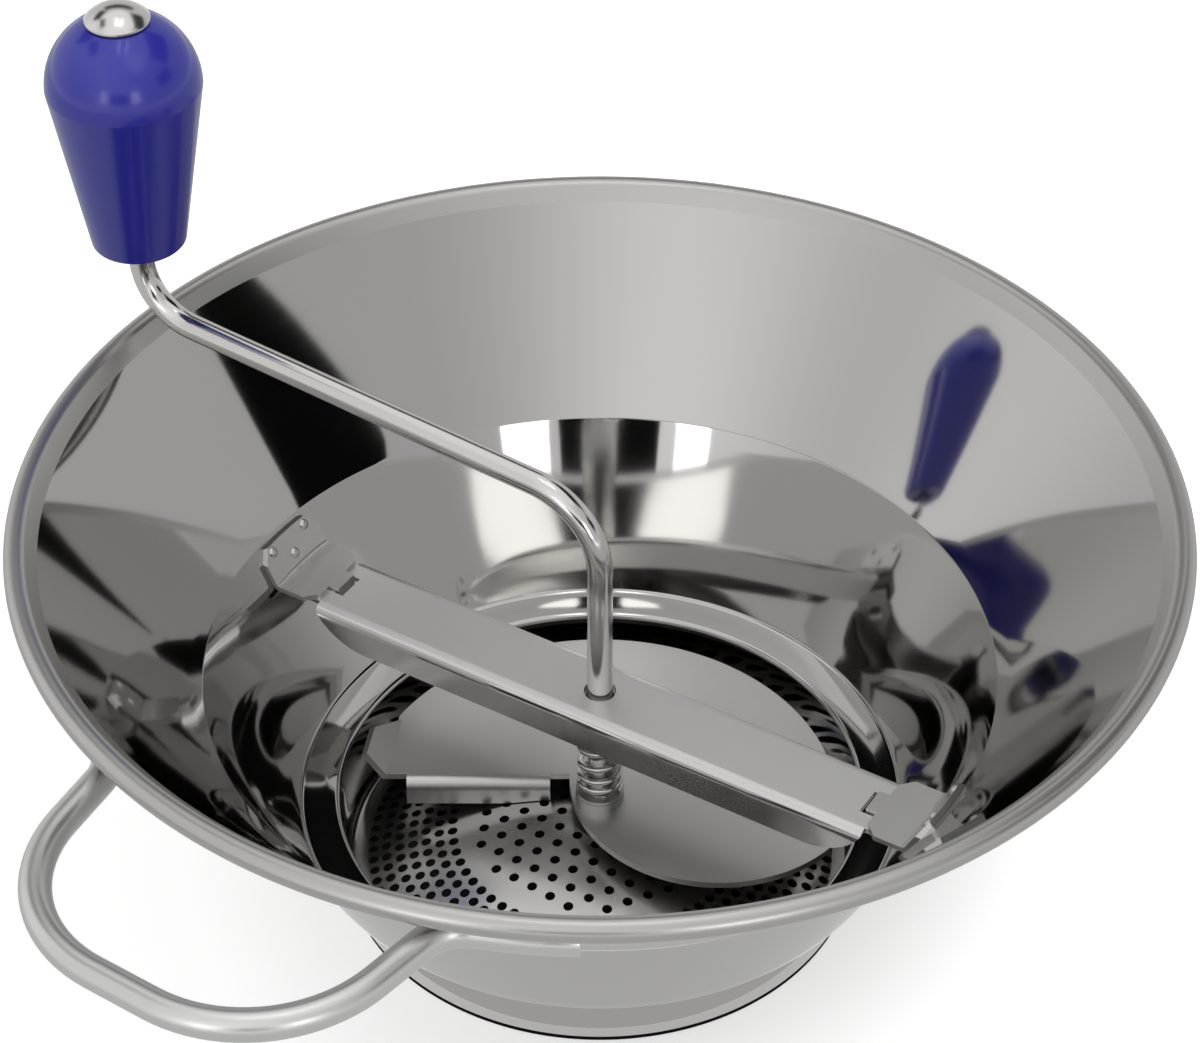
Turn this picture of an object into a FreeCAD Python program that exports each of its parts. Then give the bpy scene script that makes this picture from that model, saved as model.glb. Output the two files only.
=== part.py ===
import FreeCAD, Part
import math
import os
from FreeCAD import Placement, Rotation, Vector

# A rotary food mill, in millimetres.
# The origin is the middle of the base ring, +Z is up, the crossbar lies along X and the
# carrying handle points to -Y. The crank arm rests over the -X half of the crossbar.

# Bowl, spun from one sheet
bowl_sheet = 1.0
bowl_bend = 1.5
rim_radius = 155.0
rim_height = 125.0
rim_bead = 6.5
rim_curl_angle = 290.0
crease_radius = 107.5
crease_height = 73.0
crease_bend = 3.0
ledge_radius = 83.5
ledge_height = 26.0
collar_top_radius = 72.7
collar_bottom_radius = 71.3
base_lip = 4.6

# Sieve, a perforated dome that stands on the bowl's base lip
sieve_sheet = 1.0
sieve_rise = 13.0
sieve_rim_gap = 0.3
sieve_rim_width = 3.3
sieve_hole = 2.8
outer_row_count = 7
outer_row_inset = 0.4
outer_row_step = 3.78
outer_hole_spacing = 4.2
blank_ring = 6.5
inner_hole_pitch = 6.2
inner_grid_turn = 56.0
hub_blank_radius = 10.0

# Crossbar, a pressed channel that the spring holds up under the brackets
bar_drop = 11.65
bar_width = 24.5
bar_sheet = 1.5
bar_depth = 11.0
bar_fold = 2.0
bar_end_gap = 6.5
bar_tongue_length = 8.0
bar_tongue_width = 18.5
bar_flange_run_out = 17.0
bar_hole_gap = 0.95

# Brackets riveted inside the bowl wall
bracket_sheet = 1.5
bracket_bend = 1.5
bracket_width = 24.0
bracket_leg = 14.0
bracket_corner = 3.5
bracket_top_gap = 0.8
bracket_wall_gap = 0.05
tab_width = 7.6
tab_reach = 3.1
tab_drop = 2.3
slot_side_gap = 0.45
slot_inner_gap = 1.6
slot_outer_gap = 2.0

# Bracket rivets
rivet_shank = 2.0
rivet_head = 3.2
rivet_head_height = 0.9
rivet_tail = 3.0
rivet_tail_height = 0.5
rivet_spread = 7.5
rivet_gap = 0.03
upper_rivet_share = 0.72
lower_rivet_share = 0.25

# Crank, one bent rod
rod_diameter = 7.0
rod_pilot_length = 2.5
rod_chamfer = 0.8
arm_corner_drop = 0.7
arm_reach = 148.0
arm_rise = 10.5
shaft_bend = 22.0
spindle_bend = 17.0

# Knob and what keeps it on the spindle
knob_lift = 22.7
knob_foot_radius = 12.9
knob_radius = 21.0
knob_cone_height = 49.2
knob_foot_round = 1.0
knob_recess_radius = 7.0
knob_recess_depth = 5.0
stop_ring_radius = 6.2
stop_ring_height = 2.5
knob_washer_radius = 7.6
knob_washer_thickness = 0.4
cap_radius = 8.75
cap_edge = 0.8
cap_dome = 3.9
cap_cover = 2.6

# Spring round the shaft, and its two washers
spring_outer_diameter = 13.0
spring_wire = 1.8
spring_turns = 7.5
spring_end_gap = 0.55
washer_overlap = 0.25
washer_thickness = 1.0

# Blade and its hub
blade_sheet = 2.0
blade_floor_gap = 4.5
blade_wall_gap = 5.6
blade_rest_turn = 31.7
lead_angle = -18.0
lead_depth = 18.0
lip_bend = 1.5
lip_offset = 5.5
lip_floor_gap = 0.3
lip_drop = 1.7
lip_inner_inset = 5.5
lip_outer_inset = 12.0
tip_tab_inset = 4.5
tip_tab_angle = 150.0
tip_tab_reach = 10.0
tip_tab_edge = 0.45
tip_tab_tilt = 55.0
hub_radius = 6.8
hub_height = 2.5
hub_edge_gap = 1.8
blade_washer_radius = 7.5
blade_washer_thickness = 2.0

# Carrying handle, one bent wire welded under the rim
handle_diameter = 8.0
handle_drop = 9.0
handle_reach = 39.4
handle_corner_half_width = 42.6
handle_corner_bend = 38.4
handle_lean = 6.9
handle_foot_bend = 13.0
handle_foot_angle = 32.3
handle_weld_sink = 0.5
handle_turn = -2.3

# Clearances
press_gap = 0.02
running_gap = 0.05
loose_gap = 0.35
seat_gap = 0.1
spring_seat_gap = 0.3
stop_gap = 0.3

# Places that follow from the sizes above
Z_AXIS = Vector(0, 0, 1)
ORIGIN = Vector(0, 0, 0)
rod_radius = rod_diameter / 2
bead_radius = rim_bead / 2
wall_slope = (crease_radius - ledge_radius) / (crease_height - ledge_height)
wall_stretch = math.hypot(1, wall_slope)
sieve_rim_top = bowl_sheet + sieve_sheet
sieve_crown = sieve_rim_top + sieve_rise
sieve_rim_radius = collar_bottom_radius - bowl_bend - sieve_rim_gap
dome_foot = sieve_rim_radius - sieve_rim_width
dome_radius = (dome_foot ** 2 + sieve_rise ** 2) / (2 * sieve_rise)
dome_centre = sieve_crown - dome_radius
blade_bottom = sieve_crown + blade_floor_gap
blade_top = blade_bottom + blade_sheet
hub_top = blade_top + hub_height
seat_bottom = hub_top + seat_gap
seat_top = seat_bottom + washer_thickness
bar_top = crease_height - bar_drop
bar_underside = bar_top - bar_sheet
bar_bottom = bar_top - bar_depth
top_washer_bottom = bar_underside - washer_thickness
arm_corner_height = rim_height - arm_corner_drop
spindle_foot = arm_corner_height + arm_rise
knob_foot = spindle_foot + knob_lift
knob_equator = knob_foot + knob_cone_height
knob_top = knob_equator + math.sqrt(knob_radius ** 2 - cap_radius ** 2)
cap_bottom = knob_top + knob_washer_thickness + seat_gap
rod_top = cap_bottom + cap_cover
handle_height = rim_height - handle_drop
washer_radius = spring_outer_diameter / 2 + washer_overlap


def wall_radius(height, inset=0.0):
    """Radius of the well wall's inner face, moved inwards square to the wall."""
    return crease_radius - (crease_height - height) * wall_slope - inset * wall_stretch


def profile_point(point):
    """A point of a profile (radius, height) on the XZ plane."""
    return Vector(point[0], 0, point[1])


def section_point(point):
    """A point of a cross-section (y, z) on the YZ plane."""
    return Vector(0, point[0], point[1])


def plan_point(point):
    """A point of a plan (x, y) on the XY plane."""
    return Vector(point[0], point[1], 0)


def line(start, end):
    """A straight edge."""
    return Part.LineSegment(start, end).toShape()


def arc(start, middle, end):
    """A round edge through three points."""
    return Part.Arc(start, middle, end).toShape()


def unit(start, end):
    """Direction from one flat point to another."""
    length = math.hypot(end[0] - start[0], end[1] - start[1])
    return (end[0] - start[0]) / length, (end[1] - start[1]) / length


def turn_side(before, corner, after):
    """Positive where the path turns left at the corner."""
    come, go = unit(before, corner), unit(corner, after)
    return come[0] * go[1] - come[1] * go[0]


def corner_arc(before, corner, after, radius):
    """Start, middle and end of the arc that rounds a corner."""
    come, go = unit(before, corner), unit(corner, after)
    half_turn = math.acos(max(-1.0, min(1.0, come[0] * go[0] + come[1] * go[1]))) / 2
    reach = radius * math.tan(half_turn)
    start = (corner[0] - come[0] * reach, corner[1] - come[1] * reach)
    end = (corner[0] + go[0] * reach, corner[1] + go[1] * reach)
    inward = unit((0, 0), (go[0] - come[0], go[1] - come[1]))
    depth = radius / math.cos(half_turn) - radius
    middle = (corner[0] + inward[0] * depth, corner[1] + inward[1] * depth)
    return start, middle, end


def rounded_path(points, radii, place):
    """Edges of an open path whose inner corners are rounded."""
    edges = []
    last = points[0]
    for index in range(1, len(points) - 1):
        start, middle, end = corner_arc(*points[index - 1:index + 2], radii[index - 1])
        edges.append(line(place(last), place(start)))
        edges.append(arc(place(start), place(middle), place(end)))
        last = end
    edges.append(line(place(last), place(points[-1])))
    return edges


def offset_right(points, distance):
    """The same path, moved to its right-hand side."""
    moved = []
    for index, point in enumerate(points):
        ways = []
        if index > 0:
            ways.append(unit(points[index - 1], point))
        if index < len(points) - 1:
            ways.append(unit(point, points[index + 1]))
        normals = [(way[1], -way[0]) for way in ways]
        across = (sum(n[0] for n in normals), sum(n[1] for n in normals))
        scale = distance * len(normals) / (across[0] ** 2 + across[1] ** 2)
        moved.append((point[0] + across[0] * scale, point[1] + across[1] * scale))
    return moved


def sheet_sides(points, bends, thickness, place):
    """Edges of both faces of a bent sheet, which lies to the right of the given path."""
    left_radii, right_radii = [], []
    for index, bend in enumerate(bends):
        left_turn = turn_side(*points[index:index + 3]) > 0
        left_radii.append(bend if left_turn else bend + thickness)
        right_radii.append(bend + thickness if left_turn else bend)
    other = offset_right(points, thickness)
    return rounded_path(points, left_radii, place), rounded_path(other, right_radii, place), other


def sheet_face(points, bends, thickness, place):
    """Closed cross-section of a bent sheet."""
    near, far, other = sheet_sides(points, bends, thickness, place)
    ends = [line(place(points[0]), place(other[0])), line(place(points[-1]), place(other[-1]))]
    return Part.Face(Part.Wire(Part.__sortEdges__(near + far + ends)))


def polygon_prism(points, direction):
    """A prism on a closed polygon."""
    return Part.Face(Part.makePolygon(points + points[:1])).extrude(direction)


def turned(points):
    """A solid of revolution about Z from a closed (radius, height) polygon."""
    corners = [profile_point(p) for p in points]
    face = Part.Face(Part.makePolygon(corners + corners[:1]))
    return face.revolve(ORIGIN, Z_AXIS, 360)


def ring(outer_radius, hole_radius, bottom, top):
    """A flat washer or collar on the Z axis."""
    return turned([(hole_radius, bottom), (outer_radius, bottom), (outer_radius, top), (hole_radius, top)])


def on_spindle(shape):
    """Moves a shape from the Z axis to the knob's axis."""
    return shape.translated(Vector(-arm_reach, 0, 0))


def flare_tangent():
    """Direction of the flared wall, and where its inner face meets the rolled rim."""
    centre = (rim_radius - bead_radius, rim_height)
    away = (centre[0] - crease_radius, centre[1] - crease_height)
    distance = math.hypot(*away)
    angle = math.atan2(away[1], away[0]) + math.asin(bead_radius / distance)
    length = math.sqrt(distance ** 2 - bead_radius ** 2)
    way = (math.cos(angle), math.sin(angle))
    return way, (crease_radius + way[0] * length, crease_height + way[1] * length)


def flare_outer_radius(height):
    """Radius of the flared wall's outer face."""
    way, _ = flare_tangent()
    return crease_radius + (height - crease_height) * way[0] / way[1] + bowl_sheet / way[1]


def rivet_frames():
    """Where each rivet crosses the wall's inner face, and its direction out of the bowl."""
    low = bar_top + bracket_sheet
    rise = crease_height - bracket_top_gap - low
    upper, lower = low + rise * upper_rivet_share, low + rise * lower_rivet_share
    places = [(-rivet_spread, upper), (rivet_spread, upper), (0, lower)]
    frames = []
    for side in (0, 180):
        for across, height in places:
            radius = wall_radius(height)
            azimuth = math.asin(across / radius) + math.radians(side)
            outwards = Vector(math.cos(azimuth), math.sin(azimuth), -wall_slope)
            frames.append((Vector(radius * math.cos(azimuth), radius * math.sin(azimuth), height), outwards))
    return frames


def rivet_holes():
    """Cylinders that cut the rivet holes through brackets and wall."""
    reach = 2 * (bracket_sheet + bowl_sheet + bracket_wall_gap)
    holes = []
    for place, outwards in rivet_frames():
        start = place - outwards.normalize() * reach
        holes.append(Part.makeCylinder(rivet_shank / 2 + press_gap, 2 * reach, start, outwards))
    return Part.makeCompound(holes)


def build_bowl():
    """The spun bowl, with base lip, collar, ledge, well, flare and rolled rim."""
    way, touch = flare_tangent()
    inner = [
        (collar_bottom_radius - base_lip, bowl_sheet),
        (collar_bottom_radius, bowl_sheet),
        (collar_top_radius, ledge_height),
        (ledge_radius, ledge_height),
        (crease_radius, crease_height),
        touch,
    ]
    bends = [bowl_bend, bowl_bend, bowl_bend, crease_bend]
    near, far, outer = sheet_sides(inner, bends, bowl_sheet, profile_point)
    centre = (rim_radius - bead_radius, rim_height)
    start_angle = math.atan2(way[0], -way[1])

    def on_curl(radius, turn):
        angle = start_angle - math.radians(turn)
        return profile_point((centre[0] + radius * math.cos(angle), centre[1] + radius * math.sin(angle)))

    curl_turns = (0, rim_curl_angle / 2, rim_curl_angle)
    outside = [on_curl(bead_radius, turn) for turn in curl_turns]
    inside = [on_curl(bead_radius - bowl_sheet, turn) for turn in curl_turns]
    curl = [arc(*outside), arc(*inside)]
    curl_end = line(outside[-1], inside[-1])
    base_end = line(profile_point(inner[0]), profile_point(outer[0]))
    wire = Part.Wire(Part.__sortEdges__(near + far + curl + [curl_end, base_end]))
    return Part.Face(wire).revolve(ORIGIN, Z_AXIS, 360).cut(rivet_holes())


def collar_radius(height):
    """Radius of the collar's inner face."""
    share = (height - bowl_sheet) / (ledge_height - bowl_sheet)
    return collar_bottom_radius + (collar_top_radius - collar_bottom_radius) * share


def sieve_holes():
    """Centres of the sieve holes: rings outside, a hexagonal grid inside."""
    outer_row = dome_foot - outer_row_inset - sieve_hole / 2
    centres = []
    for row in range(outer_row_count):
        radius = outer_row - row * outer_row_step
        count = int(2 * math.pi * radius / outer_hole_spacing)
        for index in range(count):
            angle = 2 * math.pi * (index + row % 2 / 2) / count
            centres.append((radius * math.cos(angle), radius * math.sin(angle)))
    grid_limit = outer_row - (outer_row_count - 1) * outer_row_step - blank_ring
    turn = math.radians(inner_grid_turn)
    steps = int(2 * grid_limit / inner_hole_pitch) + 1
    for i in range(-steps, steps + 1):
        for j in range(-steps, steps + 1):
            x = inner_hole_pitch * (i + j / 2)
            y = inner_hole_pitch * j * math.sqrt(3) / 2
            radius = math.hypot(x, y)
            if hub_blank_radius <= radius <= grid_limit:
                angle = math.atan2(y, x) + turn
                centres.append((radius * math.cos(angle), radius * math.sin(angle)))
    return centres


def build_sieve():
    """The sieve: a perforated dome with a pilot hole for the rod and a flat rim on the base lip."""
    pilot = rod_radius + running_gap

    def on_dome(radius, reach):
        return profile_point((reach, dome_centre + math.sqrt(radius ** 2 - reach ** 2)))

    inner_radius = dome_radius - sieve_sheet
    inner_foot = math.sqrt(inner_radius ** 2 - (bowl_sheet - dome_centre) ** 2)
    top = [on_dome(dome_radius, reach) for reach in (pilot, dome_foot / 2, dome_foot)]
    under = [on_dome(inner_radius, reach) for reach in (inner_foot, inner_foot / 2, pilot)]
    rim = [profile_point((sieve_rim_radius, height)) for height in (sieve_rim_top, bowl_sheet)]
    edges = [arc(*top), line(top[-1], rim[0]), line(*rim), line(rim[1], under[0]), arc(*under)]
    edges.append(line(under[-1], top[0]))
    dome = Part.Face(Part.Wire(edges)).revolve(ORIGIN, Z_AXIS, 360)
    holes = [Part.makeCylinder(sieve_hole / 2, sieve_crown, plan_point(p)) for p in sieve_holes()]
    return dome.cut(Part.makeCompound(holes))


def bracket_leg_end():
    """Distance of the bracket leg's inner edge from the axis."""
    return wall_radius(bar_top) - bracket_leg


def build_bracket():
    """The +X bracket: a leg over the bar, an upright on the wall and a tab in the bar's slot."""
    leg_top = bar_top + bracket_sheet
    leg_end = bracket_leg_end()
    top = crease_height - bracket_top_gap
    inset = bracket_wall_gap + bracket_sheet
    path = [
        (leg_end - bracket_corner, leg_top),
        (wall_radius(leg_top, inset), leg_top),
        (wall_radius(top, inset), top),
    ]
    profile = sheet_face(path, [bracket_bend], bracket_sheet, profile_point)
    sector = 120.0
    band = profile.revolve(ORIGIN, Z_AXIS, sector)
    band.rotate(ORIGIN, Z_AXIS, -sector / 2)
    half = bracket_width / 2
    plan = [
        (leg_end, -half + bracket_corner),
        (leg_end + bracket_corner, -half),
        (crease_radius, -half),
        (crease_radius, half),
        (leg_end + bracket_corner, half),
        (leg_end, half - bracket_corner),
    ]
    face = [
        (-half, bar_underside),
        (half, bar_underside),
        (half, top - bracket_corner),
        (half - bracket_corner, top),
        (bracket_corner - half, top),
        (-half, top - bracket_corner),
    ]
    bracket = band.common(polygon_prism([plan_point(p) for p in plan], Vector(0, 0, rim_height)))
    bracket = bracket.common(polygon_prism([section_point(p) for p in face], Vector(rim_radius, 0, 0)))
    tab_end = leg_end - tab_reach
    strip = Part.makeBox(tab_reach, tab_width, bracket_sheet, Vector(tab_end, -tab_width / 2, bar_top))
    hook_height = tab_drop + bracket_sheet
    hook_corner = Vector(tab_end, -tab_width / 2, bar_top - tab_drop)
    hook = Part.makeBox(bracket_sheet, tab_width, hook_height, hook_corner)
    return bracket.fuse([strip, hook]).removeSplitter()


def build_rivets():
    """Six rivets with domed heads inside the bowl and flat tails outside."""
    inner_face = -(bracket_wall_gap + bracket_sheet + rivet_gap)
    outer_face = bowl_sheet + rivet_gap
    head = rivet_head / 2
    crown = inner_face - rivet_head_height
    half_way = math.sin(math.pi / 4)
    middle = Vector(head * half_way, 0, inner_face - rivet_head_height * half_way)
    outline = [
        (head, inner_face),
        (rivet_shank / 2, inner_face),
        (rivet_shank / 2, outer_face),
        (rivet_tail / 2, outer_face),
        (rivet_tail / 2, outer_face + rivet_tail_height),
        (0, outer_face + rivet_tail_height),
        (0, crown),
    ]
    corners = [profile_point(p) for p in outline]
    edges = [line(a, b) for a, b in zip(corners, corners[1:])]
    edges.append(arc(corners[-1], middle, corners[0]))
    rivet = Part.Face(Part.Wire(edges)).revolve(ORIGIN, Z_AXIS, 360)
    rivets = []
    for place, outwards in rivet_frames():
        copy = rivet.copy()
        copy.Placement = Placement(place, Rotation(Z_AXIS, outwards))
        rivets.append(copy)
    return Part.makeCompound(rivets)


def build_crossbar():
    """The pressed channel with rounded-off flanges, end tongues, tab slots and shaft hole."""
    half = bar_width / 2
    bar_end = wall_radius(bar_top) - bar_end_gap
    tongue_start = bar_end - bar_tongue_length
    flange_start = tongue_start - bar_flange_run_out
    path = [(-half, bar_bottom), (-half, bar_top), (half, bar_top), (half, bar_bottom)]
    section = sheet_face(path, [bar_fold, bar_fold], bar_sheet, section_point)
    bar = section.extrude(Vector(2 * bar_end, 0, 0)).translated(Vector(-bar_end, 0, 0))
    rise = bar_underside - bar_bottom
    run_out_radius = (bar_flange_run_out ** 2 + rise ** 2) / (2 * rise)
    half_turn = math.asin(bar_flange_run_out / run_out_radius) / 2
    below = bar_bottom - bar_sheet
    beyond = bar_end + bar_sheet
    corner = profile_point((tongue_start, bar_underside))
    flange_corner = profile_point((flange_start, bar_bottom))
    middle = profile_point((
        flange_start + run_out_radius * math.sin(half_turn),
        bar_bottom + run_out_radius * (1 - math.cos(half_turn)),
    ))
    outer = [profile_point(p) for p in ((beyond, bar_underside), (beyond, below), (flange_start, below))]
    edges = [arc(flange_corner, middle, corner), line(corner, outer[0])]
    edges += [line(a, b) for a, b in zip(outer, outer[1:] + [flange_corner])]
    run_out = Part.Face(Part.Wire(edges)).extrude(Vector(0, bar_width, 0))
    run_out.translate(Vector(0, -half, 0))
    side = half - bar_tongue_width / 2
    cuts = [run_out]
    for y in (-half, half - side):
        corner = Vector(tongue_start, y, bar_bottom)
        cuts.append(Part.makeBox(beyond - tongue_start, side, bar_depth, corner))
    tab_end = bracket_leg_end() - tab_reach
    slot_start = tab_end - slot_inner_gap
    slot_length = slot_inner_gap + bracket_sheet + slot_outer_gap
    slot_width = tab_width + 2 * slot_side_gap
    slot_corner = Vector(slot_start, -slot_width / 2, bar_bottom)
    cuts.append(Part.makeBox(slot_length, slot_width, bar_depth, slot_corner))
    end_cuts = Part.makeCompound(cuts)
    for turn in (0, 180):
        one_end = end_cuts.copy()
        one_end.rotate(ORIGIN, Z_AXIS, turn)
        bar = bar.cut(one_end)
    hole = Part.makeCylinder(rod_radius + bar_hole_gap, bar_depth, Vector(0, 0, bar_bottom))
    return bar.cut(hole).removeSplitter()


def build_crank_rod():
    """The shaft, arm and spindle, bent from one round rod."""
    foot = sieve_crown - sieve_sheet - rod_pilot_length
    path = [
        (0, foot + rod_chamfer),
        (0, arm_corner_height),
        (-arm_reach, spindle_foot),
        (-arm_reach, rod_top),
    ]
    spine = Part.Wire(rounded_path(path, [shaft_bend, spindle_bend], profile_point))
    start = Part.Wire(Part.makeCircle(rod_radius, profile_point(path[0]), Z_AXIS))
    rod = spine.makePipeShell([start], True, False)
    tip = Part.makeCone(rod_radius - rod_chamfer, rod_radius, rod_chamfer, Vector(0, 0, foot))
    return rod.fuse(tip)


def build_knob():
    """The grip: a cone on a rounded foot under a half-sphere, bored for the spindle."""
    bore = rod_radius + running_gap
    recess = knob_foot + knob_recess_depth
    equator = (knob_radius, knob_equator)
    foot = corner_arc((0, knob_foot), (knob_foot_radius, knob_foot), equator, knob_foot_round)
    dome_angle = (math.pi / 2 - math.asin(cap_radius / knob_radius)) / 2
    dome_middle = (knob_radius * math.cos(dome_angle), knob_equator + knob_radius * math.sin(dome_angle))
    outline = [
        equator,
        foot[2],
        foot[0],
        (knob_recess_radius, knob_foot),
        (knob_recess_radius, recess),
        (bore, recess),
        (bore, knob_top),
        (cap_radius, knob_top),
    ]
    points = [profile_point(p) for p in outline]
    edges = [line(points[0], points[1]), arc(points[1], profile_point(foot[1]), points[2])]
    edges += [line(a, b) for a, b in zip(points[2:], points[3:])]
    edges.append(arc(points[-1], profile_point(dome_middle), points[0]))
    return on_spindle(Part.Face(Part.Wire(edges)).revolve(ORIGIN, Z_AXIS, 360))


def build_knob_cap():
    """The domed metal cap pressed on the spindle's end."""
    hole = rod_radius + press_gap
    edge_top = cap_bottom + cap_edge
    sphere = (cap_radius ** 2 + cap_dome ** 2) / (2 * cap_dome)
    half_angle = math.asin(cap_radius / sphere) / 2
    crown = edge_top + cap_dome
    middle = (sphere * math.sin(half_angle), crown - sphere * (1 - math.cos(half_angle)))
    outline = [
        (0, crown),
        (0, rod_top + press_gap),
        (hole, rod_top + press_gap),
        (hole, cap_bottom),
        (cap_radius, cap_bottom),
        (cap_radius, edge_top),
    ]
    points = [profile_point(p) for p in outline]
    edges = [line(a, b) for a, b in zip(points, points[1:])]
    edges.append(arc(points[-1], profile_point(middle), points[0]))
    return on_spindle(Part.Face(Part.Wire(edges)).revolve(ORIGIN, Z_AXIS, 360))


def spring_point(turns):
    """A point of the spring's middle line; the pitch closes up smoothly at both ends."""
    radius = (spring_outer_diameter - spring_wire) / 2
    bottom = seat_top + spring_seat_gap + spring_wire / 2
    top = top_washer_bottom - spring_seat_gap - spring_wire / 2
    end_pitch = spring_wire + spring_end_gap
    open_pitch = 2 * (top - bottom) / spring_turns - end_pitch
    swell = turns / 2 - spring_turns / (4 * math.pi) * math.sin(2 * math.pi * turns / spring_turns)
    angle = 2 * math.pi * turns
    height = bottom + end_pitch * turns + (open_pitch - end_pitch) * swell
    return Vector(radius * math.cos(angle), radius * math.sin(angle), height)


def spring_direction(turns):
    """The direction of the spring's middle line."""
    step = 1e-5
    return (spring_point(turns + step) - spring_point(turns - step)).normalize()


def arc_along(start, direction, end):
    """An arc that leaves its start along a direction."""
    chord = end - start
    way = Vector(chord).normalize()
    side = (direction - way * direction.dot(way)).normalize()
    half_angle = math.acos(max(-1.0, min(1.0, direction.dot(way))))
    middle = start + chord / 2 + side * (chord.Length / 2 * math.tan(half_angle / 2))
    return arc(start, middle, end)


def biarc(start, start_way, end, end_way):
    """Two arcs that join two points along their directions."""
    span = end - start
    both = start_way + end_way
    spare = 2 * (1 - start_way.dot(end_way))
    along = span.dot(both)
    reach = (math.sqrt(along ** 2 + spare * span.dot(span)) - along) / spare
    joint = (start + start_way * reach + end - end_way * reach) / 2
    second = arc_along(end, end_way * -1, joint)
    return [arc_along(start, start_way, joint), second]


def build_spring():
    """The compression spring, one tube along quarter-turn biarcs."""
    quarters = round(spring_turns * 4)
    stations = [spring_turns * index / quarters for index in range(quarters + 1)]
    edges = []
    for low, high in zip(stations, stations[1:]):
        ends = spring_point(low), spring_direction(low), spring_point(high), spring_direction(high)
        edges += biarc(*ends)
    spine = Part.Wire(Part.__sortEdges__(edges))
    section = Part.makeCircle(spring_wire / 2, spring_point(0), spring_direction(0))
    tube = spine.makePipeShell([Part.Wire(section)], True, False)
    samples_per_turn = 24
    count = int(spring_turns * samples_per_turn) + 1
    samples = [spring_point(i / samples_per_turn) for i in range(count)]
    apart = samples_per_turn // 2
    pairs = [(a, b) for i, a in enumerate(samples) for b in samples[i + apart:]]
    gap = min(a.distanceToPoint(b) for a, b in pairs) - spring_wire
    share = tube.Volume / (math.pi * spring_wire ** 2 / 4 * spine.Length)
    print(f"spring: least gap {gap:.2f} mm, volume over section times length {share:.4f}")
    return tube


def blade_outline():
    """Plan of the blade's flat part, with its trailing edge along -X."""
    radius = collar_radius(blade_bottom) - blade_wall_gap
    bend_line = lip_offset + blade_sheet + lip_bend
    tip = (-math.sqrt(radius ** 2 - bend_line ** 2), bend_line)
    angle = math.radians(lead_angle)
    lead = (radius * math.cos(angle), radius * math.sin(angle))
    root = (-(hub_radius + hub_edge_gap), bend_line)
    return radius, tip, lead, root


def build_blade():
    """The blade: a flat plate with a hollow leading edge, a turned-down lip and a raised tip."""
    radius, tip, lead, root = blade_outline()
    points = [plan_point(p) for p in (tip, lead, root)]
    edges = [
        arc(points[0], Vector(0, radius, 0), points[1]),
        arc(points[1], Vector(0, -lead_depth, 0), points[2]),
        line(points[2], points[0]),
    ]
    plate = Part.Face(Part.Wire(edges)).extrude(Vector(0, 0, blade_sheet))
    crease_start = plan_point((tip[0] + tip_tab_inset, tip[1]))
    angle = math.radians(tip_tab_angle)
    crease_end = Vector(radius * math.cos(angle), radius * math.sin(angle), 0)
    crease = crease_end - crease_start
    along = Vector(crease).normalize()
    outwards = Vector(-along.y, along.x, 0)
    low = crease_start - along * radius
    beyond = outwards * radius
    outside = polygon_prism([low, crease_end, crease_end + beyond, low + beyond], Vector(0, 0, blade_sheet))
    tab_edge = crease_start + outwards * tip_tab_reach
    tab_corners = [crease_start, crease_end, tab_edge + crease * tip_tab_edge, tab_edge]
    tab = polygon_prism(tab_corners, Vector(0, 0, blade_sheet))
    tab.rotate(crease_start, along, tip_tab_tilt)
    plate = plate.cut(outside).translated(Vector(0, 0, blade_bottom))
    tab.translate(Vector(0, 0, blade_bottom))
    lip_path = [
        (lip_offset, sieve_crown - lip_drop),
        (lip_offset, blade_top),
        (tip[1] + blade_sheet, blade_top),
    ]
    lip_start = root[0] - lip_inner_inset
    lip_end = -(radius - lip_outer_inset)
    lip = sheet_face(lip_path, [lip_bend], blade_sheet, section_point)
    lip = lip.extrude(Vector(lip_start - lip_end, 0, 0))
    lip.translate(Vector(lip_end, 0, 0))
    lip = lip.cut(Part.makeSphere(dome_radius + lip_floor_gap, Vector(0, 0, dome_centre)))
    blade = plate.fuse([tab, lip])
    blade = blade.cut(Part.makeCylinder(rod_radius + press_gap, blade_top, ORIGIN)).removeSplitter()
    blade.rotate(ORIGIN, Z_AXIS, blade_rest_turn)
    return blade


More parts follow.
